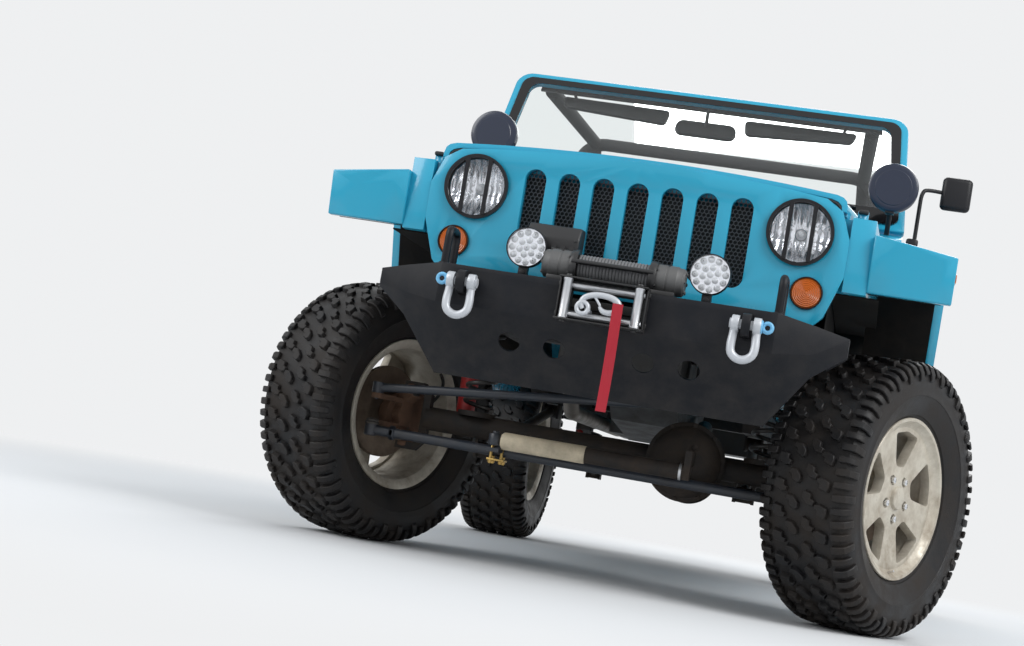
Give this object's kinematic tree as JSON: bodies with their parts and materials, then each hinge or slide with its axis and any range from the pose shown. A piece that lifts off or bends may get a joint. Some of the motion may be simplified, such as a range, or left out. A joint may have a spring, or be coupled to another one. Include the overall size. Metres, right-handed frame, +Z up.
{
  "type": "off-road vehicle",
  "caption": "Short lifted open-top off-road 4x4 with slotted grille, winch bumper, mud tyres, steering linkage, opening hood and tailgate with spare wheel.",
  "frame": {"origin": "on the ground under the middle of the bounding box, in the vehicle's plane of symmetry", "axes": "-Y is the front, +X the vehicle's left, +Z up"},
  "size_m": [2.2678, 4.184, 1.8061],
  "materials": {
    "body_paint": "dusty gloss, bright sky blue",
    "frame_black": "satin black, dusty",
    "glass": "clear",
    "dash_plastic": "grained",
    "seat_fabric": "woven",
    "bar_padding": "padded cover",
    "trim_black": "satin",
    "lamp_glass": "clear ribbed",
    "amber_lens": "amber",
    "mesh_black": "matt",
    "cast_metal": "rough cast",
    "bumper_black": "textured, dusty",
    "shackle_steel": "pale grey",
    "zinc_steel": "zinc plated",
    "winch_black": "satin",
    "strap_red": "webbing",
    "axle_black": "muddy black",
    "rusty_iron": "rusty",
    "rod_steel": "muddy",
    "spring_black": "satin",
    "damper_red": "gloss",
    "exhaust_steel": "dull",
    "tank_plastic": "matt",
    "rim_paint": "silver under tan mud",
    "tyre_rubber": "muddy rubber"
  },
  "bodies": {
    "chassis": {"frame": "frame_black", "tub_floor": "body_paint", "tub_side_left": "body_paint", "tub_side_right": "body_paint", "cowl": "body_paint", "windshield_frame": "body_paint", "windshield_glass": "glass", "dashboard": "dash_plastic", "front_seats": "seat_fabric", "rear_bench": "seat_fabric", "sport_bar": "bar_padding", "grille": "body_paint", "headlamp_rings": "trim_black", "headlamps": "lamp_glass", "signal_lamps": "amber_lens", "radiator": "mesh_black", "engine_block": "cast_metal", "driveline": "cast_metal", "front_fenders": "body_paint", "front_flares": "body_paint", "rear_flares": "body_paint", "front_bumper": "bumper_black", "shackles": "shackle_steel", "fairlead": "zinc_steel", "winch": "winch_black", "winch_hook": "zinc_steel", "pull_strap": "strap_red", "aux_lamps": "trim_black", "mirror_left": "trim_black", "rear_bumper": "bumper_black", "front_axle": "axle_black", "rear_axle": "axle_black", "coil_springs": "spring_black", "shock_absorbers": "damper_red", "suspension_links": "axle_black", "exhaust": "exhaust_steel", "fuel_tank": "tank_plastic"},
    "knuckle_left": {"knuckle_left": "rusty_iron"},
    "knuckle_right": {"knuckle_right": "rusty_iron"},
    "wheel_front_left": {"tyre_front_left": "tyre_rubber", "rim_front_left": "rim_paint"},
    "wheel_front_right": {"tyre_front_right": "tyre_rubber", "rim_front_right": "rim_paint"},
    "wheel_rear_left": {"tyre_rear_left": "tyre_rubber", "rim_rear_left": "rim_paint"},
    "wheel_rear_right": {"tyre_rear_right": "tyre_rubber", "rim_rear_right": "rim_paint"},
    "tie_rod": {"tie_rod": "rod_steel"},
    "drag_link": {"drag_link": "rod_steel"},
    "pitman_arm": {"pitman_arm": "rusty_iron"},
    "stabilizer_rod": {"stabilizer_rod": "rod_steel"},
    "hood": {"hood": "body_paint"},
    "tailgate": {"tailgate": "body_paint", "spare_rim": "rim_paint", "spare_tyre": "tyre_rubber"},
    "steering_wheel": {"steering_wheel": "dash_plastic"}
  },
  "joints": [
    {"name": "steer_right", "type": "hinge", "parent": "chassis", "child": "knuckle_right", "pos_m": [-0.69, -1.278, 0.419], "axis": [0, 0, 1], "range_deg": [-4, 60]},
    {"name": "steer_left", "type": "hinge", "parent": "chassis", "child": "knuckle_left", "pos_m": [0.69, -1.278, 0.419], "axis": [0, 0, 1], "range_deg": [-4, 60]},
    {"name": "tie_rod_pivot", "type": "hinge", "parent": "knuckle_right", "child": "tie_rod", "pos_m": [-0.76512, -1.41927, 0.377], "axis": [0, 0, 1], "range_deg": [-60, 4]},
    {"name": "drag_link_pivot", "type": "hinge", "parent": "knuckle_right", "child": "drag_link", "pos_m": [-0.76512, -1.41927, 0.461], "axis": [0, 0, 1], "range_deg": [-60, 4]},
    {"name": "pitman_pivot", "type": "hinge", "parent": "chassis", "child": "pitman_arm", "pos_m": [0.29, -1.298, 0.612], "axis": [0, 0, 1], "range_deg": [-4, 60]},
    {"name": "stabilizer_slide", "type": "slide", "parent": "chassis", "child": "stabilizer_rod", "axis": [1, 0, 0], "range_m": [-0.0108, 0.161]},
    {"name": "steering_wheel_turn", "type": "hinge", "parent": "chassis", "child": "steering_wheel", "pos_m": [0.37, -0.188, 1.24], "axis": [0, 0.8829, 0.4695], "range_deg": [-64, 960]},
    {"name": "spin_front_left", "type": "hinge", "parent": "knuckle_left", "child": "wheel_front_left", "pos_m": [0.80037, -1.33668, 0.419], "axis": [0.8829, -0.4695, 0], "continuous": true},
    {"name": "spin_front_right", "type": "hinge", "parent": "knuckle_right", "child": "wheel_front_right", "pos_m": [-0.80037, -1.21932, 0.419], "axis": [0.8829, -0.4695, 0], "continuous": true},
    {"name": "spin_rear_left", "type": "hinge", "parent": "chassis", "child": "wheel_rear_left", "pos_m": [0.815, 1.146, 0.419], "axis": [1, 0, 0], "continuous": true},
    {"name": "spin_rear_right", "type": "hinge", "parent": "chassis", "child": "wheel_rear_right", "pos_m": [-0.815, 1.146, 0.419], "axis": [1, 0, 0], "continuous": true},
    {"name": "hood_hinge", "type": "hinge", "parent": "chassis", "child": "hood", "pos_m": [0, -0.644, 1.348], "axis": [-1, 0, 0], "range_deg": [0, 60]},
    {"name": "tailgate_hinge", "type": "hinge", "parent": "chassis", "child": "tailgate", "pos_m": [-0.6, 1.738, 0.9], "axis": [0, 0, 1], "range_deg": [0, 95]}
  ],
  "couplings": [
    {"joint": "steer_left", "follows": "steer_right", "ratio": 1},
    {"joint": "tie_rod_pivot", "follows": "steer_right", "ratio": -1},
    {"joint": "drag_link_pivot", "follows": "steer_right", "ratio": -1},
    {"joint": "pitman_pivot", "follows": "steer_right", "ratio": 1},
    {"joint": "stabilizer_slide", "follows": "steer_right", "m_per_rad": 0.1527},
    {"joint": "steering_wheel_turn", "follows": "steer_right", "ratio": 16}
  ]
}
